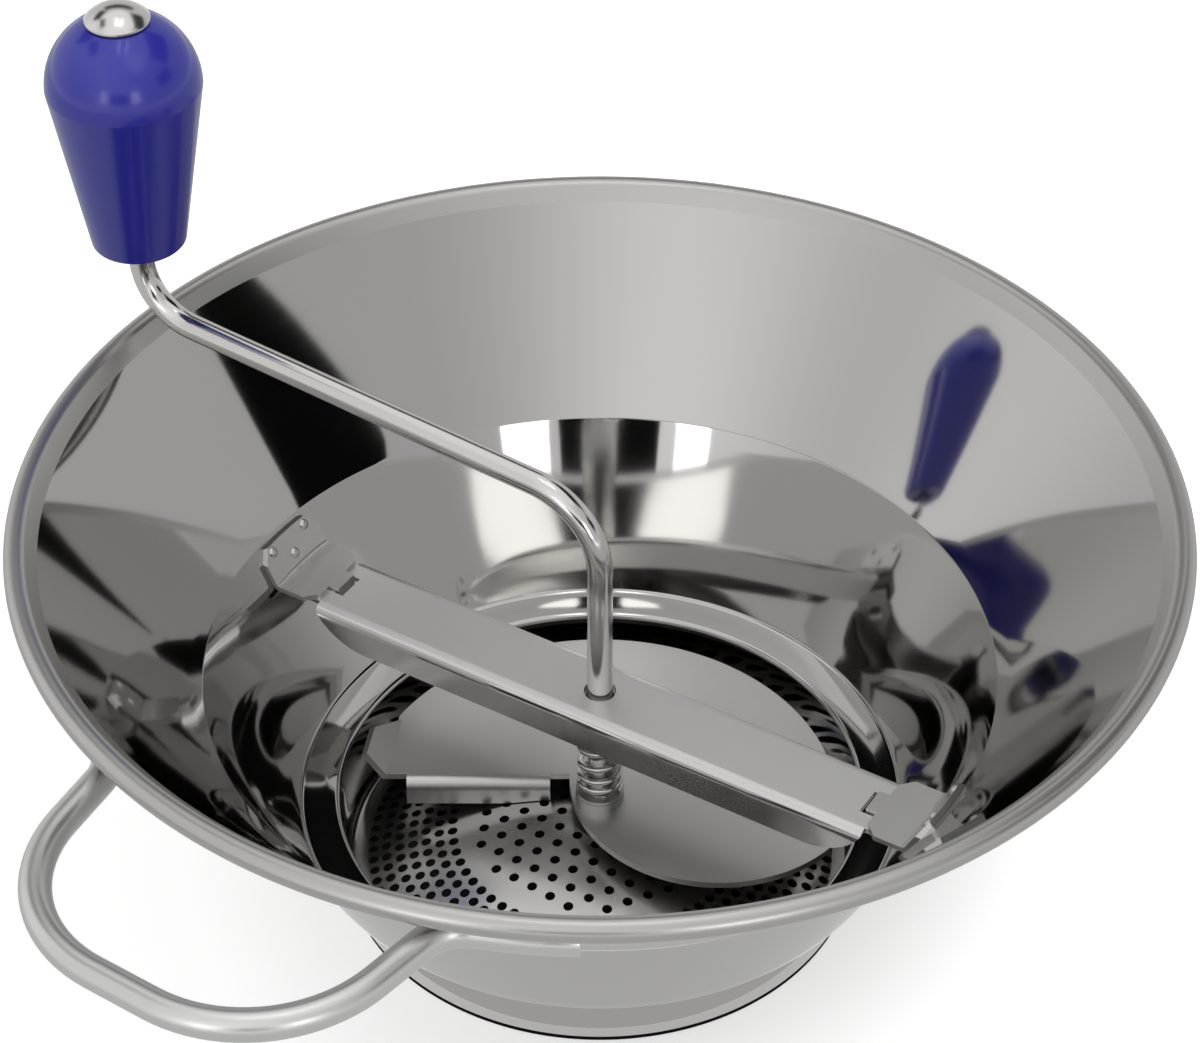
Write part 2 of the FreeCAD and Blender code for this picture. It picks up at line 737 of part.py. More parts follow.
def handle_points():
    """The bends of the handle's right half, in plan, from the foot's end to the front edge."""
    way, _ = flare_tangent()
    foot_radius = flare_outer_radius(handle_height) + (handle_diameter / 2 - handle_weld_sink) / way[1]
    front = -(rim_radius + handle_reach)
    lean = math.radians(handle_lean)
    corner = (handle_corner_half_width, front)
    leg = (math.sin(lean), math.cos(lean))
    side = (leg[1], -leg[0])
    start = (corner[0] + side[0] * handle_foot_bend, corner[1] + side[1] * handle_foot_bend)
    along = start[0] * leg[0] + start[1] * leg[1]
    reach = foot_radius + handle_foot_bend
    travel = -along - math.sqrt(along ** 2 - (start[0] ** 2 + start[1] ** 2 - reach ** 2))
    centre = (start[0] + leg[0] * travel, start[1] + leg[1] * travel)
    foot_bend_start = (centre[0] * foot_radius / reach, centre[1] * foot_radius / reach)
    foot_bend_end = (centre[0] - side[0] * handle_foot_bend, centre[1] - side[1] * handle_foot_bend)
    half_way = [(a + b) / 2 for a, b in zip(foot_bend_start, foot_bend_end)]
    inward = unit(centre, half_way)
    foot_bend_middle = tuple(c + w * handle_foot_bend for c, w in zip(centre, inward))
    end_angle = math.radians(handle_foot_angle - 90)
    bend_angle = math.atan2(foot_bend_start[1], foot_bend_start[0])
    foot_angles = (end_angle, (end_angle + bend_angle) / 2)
    foot = [(foot_radius * math.cos(a), foot_radius * math.sin(a)) for a in foot_angles]
    bend = corner_arc(foot_bend_end, corner, (0, front), handle_corner_bend)
    return foot + [foot_bend_start, foot_bend_middle, foot_bend_end] + list(bend)


def build_handle():
    """The wire loop, with feet that follow the bowl and are welded to it under the rim."""
    right = [Vector(x, y, handle_height) for x, y in handle_points()]
    left = [Vector(-p.x, p.y, p.z) for p in right]
    edges = []
    for half in (right, left):
        edges += [arc(*half[0:3]), arc(*half[2:5]), line(half[4], half[5]), arc(*half[5:8])]
    edges.append(line(right[-1], left[-1]))
    ordered = Part.Wire(Part.__sortEdges__(edges))
    foot_end = right[0]
    section = Part.makeCircle(handle_diameter / 2, foot_end, Vector(-foot_end.y, foot_end.x, 0))
    wire = ordered.makePipeShell([Part.Wire(section)], True, False)
    low, high = handle_height - handle_diameter, handle_height + handle_diameter
    radii = [flare_outer_radius(height) + press_gap for height in (low, high)]
    handle = wire.cut(Part.makeCone(*radii, high - low, Vector(0, 0, low)))
    handle.rotate(ORIGIN, Z_AXIS, handle_turn)
    return handle


def build_parts():
    """Every piece under its own name."""
    rod_hole = rod_radius + press_gap
    loose_hole = rod_radius + loose_gap
    stop_top = knob_foot + knob_recess_depth - stop_gap
    stop_bottom = stop_top - stop_ring_height
    knob_washer_top = knob_top + knob_washer_thickness
    blade_washer_bottom = blade_bottom - blade_washer_thickness
    bracket = build_bracket().cut(rivet_holes())
    other_bracket = bracket.copy()
    other_bracket.rotate(ORIGIN, Z_AXIS, 180)
    return {
        "bowl": build_bowl(),
        "handle": build_handle(),
        "bracket_right": bracket,
        "bracket_left": other_bracket,
        "bracket_rivets": build_rivets(),
        "sieve": build_sieve(),
        "crossbar": build_crossbar(),
        "spring_top_washer": ring(washer_radius, loose_hole, top_washer_bottom, bar_underside),
        "spring": build_spring(),
        "spring_seat": ring(washer_radius, loose_hole, seat_bottom, seat_top),
        "crank_rod": build_crank_rod(),
        "blade": build_blade(),
        "blade_hub": ring(hub_radius, rod_hole, blade_top, hub_top),
        "blade_washer": ring(blade_washer_radius, rod_hole, blade_washer_bottom, blade_bottom),
        "knob": build_knob(),
        "knob_washer": on_spindle(ring(knob_washer_radius, loose_hole, knob_top, knob_washer_top)),
        "knob_cap": build_knob_cap(),
        "knob_stop_ring": on_spindle(ring(stop_ring_radius, rod_hole, stop_bottom, stop_top)),
    }


os.makedirs("parts", exist_ok=True)
for name, shape in build_parts().items():
    shape.exportStep(f"parts/{name}.step")
    box = shape.BoundBox
    print(f"{name}: {len(shape.Solids)} solids, valid {shape.isValid()}, {shape.Volume:.0f} mm3, "
          f"z {box.ZMin:.2f} to {box.ZMax:.2f}")
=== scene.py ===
"""Dresses a hand-cranked food mill in polished steel and blue plastic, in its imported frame."""

import logging
import math
from dataclasses import dataclass, field
from enum import Enum

import bpy
from mathutils import Matrix, Vector


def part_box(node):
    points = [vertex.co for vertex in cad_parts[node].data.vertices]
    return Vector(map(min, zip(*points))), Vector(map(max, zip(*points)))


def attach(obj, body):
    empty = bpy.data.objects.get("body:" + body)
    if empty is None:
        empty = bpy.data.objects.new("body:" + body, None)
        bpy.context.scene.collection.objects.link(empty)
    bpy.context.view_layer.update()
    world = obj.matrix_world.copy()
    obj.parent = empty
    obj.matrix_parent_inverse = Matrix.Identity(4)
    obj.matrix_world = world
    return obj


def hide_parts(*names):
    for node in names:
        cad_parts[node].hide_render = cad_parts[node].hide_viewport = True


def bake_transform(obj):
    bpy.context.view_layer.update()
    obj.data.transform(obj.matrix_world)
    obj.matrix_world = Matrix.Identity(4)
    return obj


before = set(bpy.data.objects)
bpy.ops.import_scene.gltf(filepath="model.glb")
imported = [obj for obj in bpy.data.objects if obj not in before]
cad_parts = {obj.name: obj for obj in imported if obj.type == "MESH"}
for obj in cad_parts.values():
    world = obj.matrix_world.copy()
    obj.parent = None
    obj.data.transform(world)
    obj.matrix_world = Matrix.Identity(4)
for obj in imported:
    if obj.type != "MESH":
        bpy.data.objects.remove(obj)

LOG = logging.getLogger("food_mill")
MM = 0.001
UP = Vector((0.0, 0.0, 1.0))
Flat = tuple[float, float]

# Edges sharper than these, in degrees, stay sharp in the shading.
SHARP_SHEET = 35.0
SHARP_BAR = 30.0
SHARP_ROUND = 40.0
SHARP_SMALL = 50.0
SHARP_GRIP = 7.0

# Edges sharper than this, in degrees, are rounded at the ends of rods.
ROD_END_ANGLE = 60.0

# The longest step of a rod's bend.
BEND_STEP = math.radians(4.0)

# Points of a solid that are nearer than this become one.
SOLID_MERGE = 2e-6

# Neighbouring faces that meet at less than this become one.
FLAT_ANGLE = math.radians(0.3)

# How strongly large faces outweigh small ones in the shading.
FLAT_FACE_WEIGHT = 100

# How far the coordinates of polishing lines are squeezed the way that the lines run.
ROUND_SQUEEZE = 0.002
ALONG_SQUEEZE = 0.02

# The roughness of a clear coat.
COAT_ROUGHNESS = 0.06


class Lines(Enum):
    """Which way the fine polishing lines of a steel piece run."""

    ROUND = "round the shaft"
    ALONG = "along the crossbar"
    NONE = "buffed all ways"


class Card(Enum):
    """How bright a studio card looks to the steel."""

    BLACK = 0.003
    GREY = 0.58
    PALE = 0.9
    LIGHT = 3.2


# Mesh work


def unselect() -> None:
    """Leaves no object selected."""
    bpy.ops.object.select_all(action="DESELECT")


def pick(piece: bpy.types.Object) -> None:
    """Makes an object the only selected one and the active one.

    Args:
        piece: The object to pick.
    """
    unselect()
    piece.select_set(True)
    bpy.context.view_layer.objects.active = piece


def shape_mode(on: bool) -> None:
    """Goes into or out of edit mode."""
    bpy.ops.object.mode_set(mode="EDIT" if on else "OBJECT")


def settle(piece: bpy.types.Object) -> None:
    """Puts a piece's place, turn and scale into its mesh.

    Args:
        piece: The object to settle.
    """
    pick(piece)
    bpy.ops.object.transform_apply(location=True, rotation=True, scale=True)


def clean_skin(merge: float = 1e-6) -> None:
    """Merges doubles and turns the faces outwards, in edit mode.

    Args:
        merge: Points nearer than this become one.
    """
    bpy.ops.mesh.select_all(action="SELECT")
    bpy.ops.mesh.remove_doubles(threshold=merge)
    bpy.ops.mesh.normals_make_consistent(inside=False)


def apply_all(piece: bpy.types.Object) -> None:
    """Applies every modifier of a piece.

    Args:
        piece: The object with the modifiers.
    """
    bpy.context.view_layer.objects.active = piece
    for modifier in list(piece.modifiers):
        bpy.ops.object.modifier_apply(modifier=modifier.name)


def smooth(piece: bpy.types.Object, angle: float) -> None:
    """Shades a piece smooth, but not across its sharp edges.

    Args:
        piece: The object to shade.
        angle: Edges sharper than this, in degrees, stay sharp.
    """
    pick(piece)
    bpy.ops.object.shade_smooth_by_angle(angle=math.radians(angle))


def soften(piece: bpy.types.Object, width: float, angle: float = 40.0, rounds: int = 2) -> None:
    """Rounds the sharp edges of a piece.

    Args:
        piece: The object to finish.
        width: How wide the rounded edge is.
        angle: Edges sharper than this, in degrees, are rounded.
        rounds: Faces across a rounded edge.
    """
    bevel = piece.modifiers.new("edge", "BEVEL")
    bevel.width = width
    bevel.segments = rounds
    bevel.limit_method = "ANGLE"
    bevel.angle_limit = math.radians(angle)
    bevel.harden_normals = False
    apply_all(piece)


def flatten_shading(piece: bpy.types.Object) -> None:
    """Lets the large flat faces of a piece, and not its rounded edges, set the shading.

    Args:
        piece: The object to shade.
    """
    even = piece.modifiers.new("flat faces", "WEIGHTED_NORMAL")
    even.weight = FLAT_FACE_WEIGHT
    even.keep_sharp = True
    apply_all(piece)


def rounded(points: list[Flat], radii: list[float], fine: float = 10.0, span: float = 5.0 * MM) -> list[Flat]:
    """A path with rounded corners and evenly split straight stretches.

    Args:
        points: The path's corners.
        radii: The radius at each inner corner.
        fine: Degrees between points on a rounded corner.
        span: The longest straight step.

    Returns:
        The points of the whole path.
    """
    path = [Vector(p) for p in points]
    out = [path[0]]
    for before, corner, after, radius in zip(path, path[1:], path[2:], radii):
        come, go = (corner - before).normalized(), (after - corner).normalized()
        turn = come.angle_signed(go)
        reach = radius * math.tan(abs(turn) / 2)
        start = corner - come * reach
        side = Vector((-come.y, come.x)) * (-1 if turn > 0 else 1)
        centre = start + side * radius
        steps = max(2, math.ceil(math.degrees(abs(turn)) / fine))
        out += straight(out[-1], start, span)
        for step in range(1, steps + 1):
            out.append(centre + Matrix.Rotation(-turn * step / steps, 2) @ (start - centre))
    out += straight(out[-1], path[-1], span)
    return [tuple(p) for p in out]


def straight(start: Vector, end: Vector, span: float) -> list[Vector]:
    """Points after the start of a straight stretch, no further apart than a span."""
    steps = max(1, math.ceil((end - start).length / span))
    return [start.lerp(end, step / steps) for step in range(1, steps + 1)]


def round_arc(centre: Flat, radius: float, first: float, last: float, steps: int) -> list[Flat]:
    """Points of an arc between two angles in degrees, both ends included."""
    angles = [math.radians(first + (last - first) * step / steps) for step in range(steps + 1)]
    return [(centre[0] + radius * math.cos(a), centre[1] + radius * math.sin(a)) for a in angles]


def lathe(name: str, profile: list[Flat], steps: int, axis: Vector = Vector()) -> bpy.types.Object:
    """Turns a profile round an upright axis.

    Args:
        name: The piece's name.
        profile: Radius and height of each point; a closed one repeats its first point.
        steps: Faces round the axis.
        axis: A point on the axis.

    Returns:
        The turned piece.
    """
    unselect()
    bpy.ops.mesh.primitive_plane_add(size=MM)
    piece = bpy.context.object
    piece.name = name
    shape_mode(True)
    bpy.ops.mesh.select_all(action="SELECT")
    bpy.ops.mesh.merge(type="CENTER")
    start = Vector((profile[0][0], 0.0, profile[0][1])) + axis
    bpy.ops.transform.translate(value=start)
    for here, there in zip(profile, profile[1:]):
        move = (there[0] - here[0], 0.0, there[1] - here[1])
        bpy.ops.mesh.extrude_region_move(TRANSFORM_OT_translate={"value": move})
    bpy.ops.mesh.select_all(action="SELECT")
    bpy.ops.mesh.spin(steps=steps, angle=2 * math.pi, center=axis, axis=UP)
    clean_skin()
    shape_mode(False)
    return piece


@dataclass(frozen=True)
class Run:
    """A straight stretch of a bent rod."""

    move: Vector


@dataclass(frozen=True)
class Bend:
    """A bend of a rod round a centre, by an angle in radians."""

    centre: Vector
    axis: Vector
    angle: float


def bent_rod(
    name: str, radius: float, start: Vector, way: Vector, moves: list[Run | Bend], sides: int = 40
) -> bpy.types.Object:
    """Draws a round section along runs and bends.

    Args:
        name: The piece's name.
        radius: The rod's radius.
        start: Middle of the first section.
        way: Direction in which the rod leaves it.
        moves: The runs and bends, in order.
        sides: Faces round the rod.

    Returns:
        An open tube.
    """
    unselect()
    turn = way.to_track_quat("Z", "Y").to_euler()
    bpy.ops.mesh.primitive_circle_add(vertices=sides, radius=radius, location=start, rotation=turn)
    piece = bpy.context.object
    piece.name = name
    settle(piece)
    shape_mode(True)
    bpy.ops.mesh.select_all(action="SELECT")
    for move in moves:
        if isinstance(move, Run):
            bpy.ops.mesh.extrude_region_move(TRANSFORM_OT_translate={"value": move.move})
        else:
            steps = max(2, math.ceil(abs(move.angle) / BEND_STEP))
            bpy.ops.mesh.spin(steps=steps, angle=-move.angle, center=move.centre, axis=move.axis)
    shape_mode(False)
    return piece


def close_ends(piece: bpy.types.Object) -> None:
    """Caps the open ends of a tube and turns its faces outwards.

    Args:
        piece: The open tube.
    """
    pick(piece)
    shape_mode(True)
    bpy.ops.mesh.select_all(action="SELECT")
    bpy.ops.mesh.fill_holes(sides=0)
    clean_skin()
    shape_mode(False)


def rod_moves(points: list[Vector], radii: list[float]) -> list[Run | Bend]:
    """The runs and bends of a rod through corners.

    Args:
        points: The rod's two ends and the corners between them.
        radii: The bend radius at each corner.

    Returns:
        The moves, in order.
    """
    moves: list[Run | Bend] = []
    here = points[0]
    for before, corner, after, radius in zip(points, points[1:], points[2:], radii):
        come, go = (corner - before).normalized(), (after - corner).normalized()
        angle = come.angle(go)
        axis = come.cross(go).normalized()
        start = corner - come * radius * math.tan(angle / 2)
        moves += [Run(start - here), Bend(start + axis.cross(come) * radius, axis, angle)]
        here = corner + go * radius * math.tan(angle / 2)
    moves.append(Run(points[-1] - here))
    return moves


def sheet_copy(name: str, node: str, edge: float, angle: float) -> bpy.types.Object:
    """A pressed piece's own mesh from its solid, with rounded edges where a width is given.

    Args:
        name: The new piece's name.
        node: The solid's name.
        edge: How wide the rounded edges are, or nought for none.
        angle: Edges sharper than this, in degrees, stay sharp in the shading.

    Returns:
        The new piece.
    """
    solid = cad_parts[node]
    pick(solid)
    bpy.ops.object.duplicate()
    piece = bpy.context.object
    piece.parent = None
    piece.name = name
    for key in [k for k in piece.keys() if k.startswith("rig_")]:
        del piece[key]
    piece.data.materials.clear()
    bpy.ops.mesh.customdata_custom_splitnormals_clear()
    shape_mode(True)
    clean_skin(SOLID_MERGE)
    if edge:
        bpy.ops.mesh.dissolve_limited(angle_limit=FLAT_ANGLE)
    shape_mode(False)
    if edge:
        soften(piece, edge)
    smooth(piece, angle)
    if edge:
        flatten_shading(piece)
    return piece


# Finishes


def link(tree: bpy.types.NodeTree, source: bpy.types.NodeSocket, target: bpy.types.NodeSocket) -> None:
    """Joins two sockets."""
    tree.links.new(source, target)


def calc(tree: bpy.types.NodeTree, kind: str, first: object, second: object) -> bpy.types.NodeSocket:
    """A Math node on two sockets or numbers.

    Args:
        tree: The node tree.
        kind: The Math operation.
        first: The first socket or number.
        second: The second socket or number.

    Returns:
        The result's socket.
    """
    node = tree.nodes.new("ShaderNodeMath")
    node.operation = kind
    for socket, value in zip(node.inputs, (first, second)):
        if isinstance(value, (int, float)):
            socket.default_value = value
        else:
            link(tree, value, socket)
    return node.outputs[0]


def noise(
    tree: bpy.types.NodeTree, place: bpy.types.NodeSocket, scale: float, detail: float
) -> bpy.types.NodeSocket:
    """A noise pattern with its middle at nought.

    Args:
        tree: The node tree.
        place: The coordinates it follows.
        scale: How fine it is.
        detail: How many finer layers it has.

    Returns:
        The pattern's socket, from -0.5 to 0.5.
    """
    node = tree.nodes.new("ShaderNodeTexNoise")
    node.inputs["Scale"].default_value = scale
    node.inputs["Detail"].default_value = detail
    link(tree, place, node.inputs["Vector"])
    return calc(tree, "SUBTRACT", node.outputs["Fac"], 0.5)


class SurfaceMarks:
    """A node group of smudges, polishing lines and a slow wobble, shared by every finish."""

    NAME = "surface marks"
    SMUDGE_SCALE = 26.0
    CLOUD_SCALE = 7.0
    WOBBLE_SCALE = 11.0
    SMUDGE_DETAIL = 5.0
    CLOUD_DETAIL = 3.0
    LINE_DETAIL = 2.0
    WOBBLE_DETAIL = 1.0
    LEAST_ROUGHNESS = 0.02

    def build(self) -> bpy.types.NodeTree:
        """Makes the group once.

        Returns:
            The group's node tree.
        """
        tree = bpy.data.node_groups.new(self.NAME, "ShaderNodeTree")
        face = tree.interface
        face.new_socket("Tint", in_out="INPUT", socket_type="NodeSocketColor")
        face.new_socket("Line Place", in_out="INPUT", socket_type="NodeSocketVector")
        for name in ("Roughness", "Smudge", "Cloud", "Line", "Line Depth", "Wobble"):
            face.new_socket(name, in_out="INPUT", socket_type="NodeSocketFloat")
        face.new_socket("Color", in_out="OUTPUT", socket_type="NodeSocketColor")
        face.new_socket("Roughness", in_out="OUTPUT", socket_type="NodeSocketFloat")
        face.new_socket("Height", in_out="OUTPUT", socket_type="NodeSocketFloat")
        given = tree.nodes.new("NodeGroupInput").outputs
        result = tree.nodes.new("NodeGroupOutput").inputs
        place = tree.nodes.new("ShaderNodeTexCoord").outputs["Object"]
        smudge = noise(tree, place, self.SMUDGE_SCALE, self.SMUDGE_DETAIL)
        cloud = noise(tree, place, self.CLOUD_SCALE, self.CLOUD_DETAIL)
        line = noise(tree, given["Line Place"], 1.0, self.LINE_DETAIL)
        wobble = noise(tree, place, self.WOBBLE_SCALE, self.WOBBLE_DETAIL)
        rough = calc(tree, "MULTIPLY", smudge, given["Smudge"])
        rough = calc(tree, "ADD", rough, calc(tree, "MULTIPLY", line, given["Line"]))
        rough = calc(tree, "ADD", rough, given["Roughness"])
        link(tree, calc(tree, "MAXIMUM", rough, self.LEAST_ROUGHNESS), result["Roughness"])
        tone = calc(tree, "ADD", calc(tree, "MULTIPLY", cloud, given["Cloud"]), 1.0)
        paint = tree.nodes.new("ShaderNodeVectorMath")
        paint.operation = "SCALE"
        link(tree, given["Tint"], paint.inputs[0])
        link(tree, tone, paint.inputs["Scale"])
        link(tree, paint.outputs[0], result["Color"])
        height = calc(tree, "MULTIPLY", line, given["Line Depth"])
        height = calc(tree, "ADD", height, calc(tree, "MULTIPLY", wobble, given["Wobble"]))
        link(tree, height, result["Height"])
        return tree


MARKS = SurfaceMarks().build()


@dataclass(frozen=True)
class Finish:
    """One surface finish; depths are in millimetres, and satin is added roughness over a height."""

    name: str
    tint: tuple[float, float, float]
    roughness: float
    metallic: float = 1.0
    smudge: float = 0.10
    cloud: float = 0.08
    line: float = 0.06
    line_depth: float = 0.002
    line_scale: float = 700.0
    wobble: float = 0.10
    lines: Lines = Lines.NONE
    coat: float = 0.0
    satin: float = 0.0
    satin_from: float = 0.0

    def line_place(self, tree: bpy.types.NodeTree) -> bpy.types.NodeSocket:
        """Coordinates in which the polishing lines are long one way and fine the other.

        Args:
            tree: The material's node tree.

        Returns:
            The coordinate socket.
        """
        place = tree.nodes.new("ShaderNodeTexCoord").outputs["Object"]
        scale = tree.nodes.new("ShaderNodeVectorMath")
        scale.operation = "MULTIPLY"
        if self.lines is Lines.ROUND:
            split = tree.nodes.new("ShaderNodeSeparateXYZ")
            link(tree, place, split.inputs[0])
            across = calc(tree, "MULTIPLY", split.outputs["X"], split.outputs["X"])
            along = calc(tree, "MULTIPLY", split.outputs["Y"], split.outputs["Y"])
            radius = calc(tree, "SQRT", calc(tree, "ADD", across, along), 0.0)
            angle = calc(tree, "ARCTAN2", split.outputs["Y"], split.outputs["X"])
            join = tree.nodes.new("ShaderNodeCombineXYZ")
            link(tree, radius, join.inputs["X"])
            link(tree, calc(tree, "MULTIPLY", angle, ROUND_SQUEEZE), join.inputs["Y"])
            link(tree, split.outputs["Z"], join.inputs["Z"])
            place = join.outputs[0]
        squeeze = ALONG_SQUEEZE if self.lines is Lines.ALONG else 1.0
        link(tree, place, scale.inputs[0])
        scale.inputs[1].default_value = (self.line_scale * squeeze, self.line_scale, self.line_scale)
        return scale.outputs[0]

    def material(self) -> bpy.types.Material:
        """Makes the finish's material.

        Returns:
            The new material.
        """
        material = bpy.data.materials.new(self.name)
        material.use_nodes = True
        tree = material.node_tree
        shader = tree.nodes["Principled BSDF"]
        marks = tree.nodes.new("ShaderNodeGroup")
        marks.node_tree = MARKS
        given = marks.inputs
        given["Tint"].default_value = (*self.tint, 1.0)
        amounts = {
            "Roughness": self.roughness, "Smudge": self.smudge, "Cloud": self.cloud,
            "Line": self.line, "Line Depth": self.line_depth, "Wobble": self.wobble,
        }
        for name, amount in amounts.items():
            given[name].default_value = amount
        link(tree, self.line_place(tree), given["Line Place"])
        bump = tree.nodes.new("ShaderNodeBump")
        bump.inputs["Strength"].default_value = 1.0
        bump.inputs["Distance"].default_value = MM
        link(tree, marks.outputs["Height"], bump.inputs["Height"])
        link(tree, bump.outputs["Normal"], shader.inputs["Normal"])
        link(tree, marks.outputs["Color"], shader.inputs["Base Color"])
        rough = marks.outputs["Roughness"]
        if self.satin:
            split = tree.nodes.new("ShaderNodeSeparateXYZ")
            link(tree, tree.nodes.new("ShaderNodeTexCoord").outputs["Object"], split.inputs[0])
            above = calc(tree, "GREATER_THAN", split.outputs["Z"], self.satin_from)
            rough = calc(tree, "ADD", rough, calc(tree, "MULTIPLY", above, self.satin))
        link(tree, rough, shader.inputs["Roughness"])
        shader.inputs["Metallic"].default_value = self.metallic
        shader.inputs["Coat Weight"].default_value = self.coat
        shader.inputs["Coat Roughness"].default_value = COAT_ROUGHNESS
        return material


def dress(piece: bpy.types.Object, material: bpy.types.Material) -> None:
    """Gives a piece one material all over."""
    piece.data.materials.clear()
    piece.data.materials.append(material)


def fit(piece: bpy.types.Object, body: str, slot: str, *nodes: str) -> bpy.types.Object:
    """Sets a finished piece on its body in place of its solids.

    Args:
        piece: The finished piece.
        body: The body it rides on.
        slot: The record's material slot; not used.
        nodes: The solids it stands for.

    Returns:
        The same piece.
    """
    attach(piece, body)
    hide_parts(*nodes)
    LOG.info("%s on %s for %s, %d faces", piece.name, body, ", ".join(nodes), len(piece.data.polygons))
    return piece


# Finishes of this mill

BOWL_STEEL = Finish(
    "spun bowl steel", (0.53, 0.525, 0.51), roughness=0.055, smudge=0.03, line=0.015, line_depth=0.0004,
    line_scale=900.0, wobble=0.22, lines=Lines.ROUND, satin=0.28, satin_from=123.5 * MM,
)
WIRE_STEEL = Finish("drawn wire steel", (0.70, 0.70, 0.69), roughness=0.33, smudge=0.14, wobble=0.05)
ROD_STEEL = Finish("polished rod steel", (0.70, 0.69, 0.67), roughness=0.16, smudge=0.12, wobble=0.05)
BAR_STEEL = Finish(
    "satin bar steel", (0.74, 0.735, 0.72), roughness=0.18, smudge=0.08, line=0.06, line_depth=0.0003,
    line_scale=1500.0, wobble=0.03, lines=Lines.ALONG, satin=0.28, satin_from=60.7 * MM,
)
BRACKET_STEEL = Finish("pressed bracket steel", (0.64, 0.635, 0.62), roughness=0.34, smudge=0.10, wobble=0.03)
SIEVE_STEEL = Finish("punched sieve steel", (0.62, 0.615, 0.60), roughness=0.24, smudge=0.14, wobble=0.10)
BLADE_STEEL = Finish(
    "pressed blade steel", (0.62, 0.615, 0.60), roughness=0.40, smudge=0.10, line=0.06, line_depth=0.001,
    line_scale=900.0, wobble=0.05, lines=Lines.ALONG,
)
SPRING_STEEL = Finish("bright spring wire", (0.66, 0.65, 0.63), roughness=0.16, wobble=0.0)
WASHER_STEEL = Finish("plain washer steel", (0.55, 0.55, 0.54), roughness=0.30, wobble=0.0)
CAP_STEEL = Finish("polished cap steel", (0.74, 0.73, 0.71), roughness=0.2, smudge=0.08, wobble=0.0)
KNOB_BLUE = Finish(
    "royal blue plastic", (0.018, 0.018, 0.25), roughness=0.24, metallic=0.0, smudge=0.10, cloud=0.14,
    line=0.03, line_depth=0.002, line_scale=260.0, wobble=0.02, coat=0.25,
)


# Sub-assemblies


@dataclass
class Bowl:
    """The spun bowl: base lip, collar, ledge, well, flare and rolled rim."""

    sheet: float = 1.0 * MM
    lip: float = 4.6 * MM
    collar_bottom: float = 71.3 * MM
    collar_top: float = 72.7 * MM
    ledge: Flat = (83.5 * MM, 26.0 * MM)
    crease: Flat = (107.5 * MM, 73.0 * MM)
    rim: Flat = (155.0 * MM, 125.0 * MM)
    bead: float = 3.25 * MM
    curl: float = 290.0
    bend: float = 1.5 * MM
    crease_bend: float = 3.0 * MM
    steps: int = 256
    curl_steps: int = 40

    def flare_angle(self) -> float:
        """The slope of the flared wall, which meets the rolled rim without a corner.

        Returns:
            The angle over level, in radians.
        """
        across = self.rim[0] - self.bead - self.crease[0]
        rise = self.rim[1] - self.crease[1]
        return math.atan2(rise, across) + math.asin(self.bead / math.hypot(across, rise))

    def flare_outside(self, height: float) -> float:
        """Radius of the flared wall's outer face at a height."""
        slope = self.flare_angle()
        return self.crease[0] + (height - self.crease[1]) / math.tan(slope) + self.sheet / math.sin(slope)

    def profile(self) -> list[Flat]:
        """The sheet's inner face, from the base lip to the end of the rolled rim.

        Returns:
            Radius and height of each point.
        """
        slope = self.flare_angle()
        centre = (self.rim[0] - self.bead, self.rim[1])
        curl_start = math.degrees(slope) + 90.0
        curl = round_arc(centre, self.bead, curl_start, curl_start - self.curl, self.curl_steps)
        wall = [
            (self.collar_bottom - self.lip, self.sheet),
            (self.collar_bottom, self.sheet),
            (self.collar_top, self.ledge[1]),
            self.ledge,
            self.crease,
            curl[0],
        ]
        return rounded(wall, [self.bend, self.bend, self.bend, self.crease_bend]) + curl[1:]

    def build(self) -> bpy.types.Object:
        """Spins the profile and gives the sheet its thickness.

        Returns:
            The finished bowl.
        """
        piece = lathe("spun_bowl", self.profile(), self.steps)
        wall = piece.modifiers.new("sheet", "SOLIDIFY")
        wall.thickness = self.sheet
        wall.offset = self.outside(piece)
        apply_all(piece)
        smooth(piece, SHARP_SHEET)
        dress(piece, BOWL_STEEL.material())
        return fit(piece, "bowl", "bowl_steel", "bowl")

    def outside(self, piece: bpy.types.Object) -> float:
        """Which way the sheet thickens so that it grows out of the bowl.

        Args:
            piece: The bowl as a sheet without thickness.

        Returns:
            1 along the normals, or -1 against them.
        """
        wall = max(piece.data.polygons, key=lambda face: face.area)
        away = Vector((wall.center.x, wall.center.y, 0.0))
        return 1.0 if wall.normal.dot(away) > 0 else -1.0


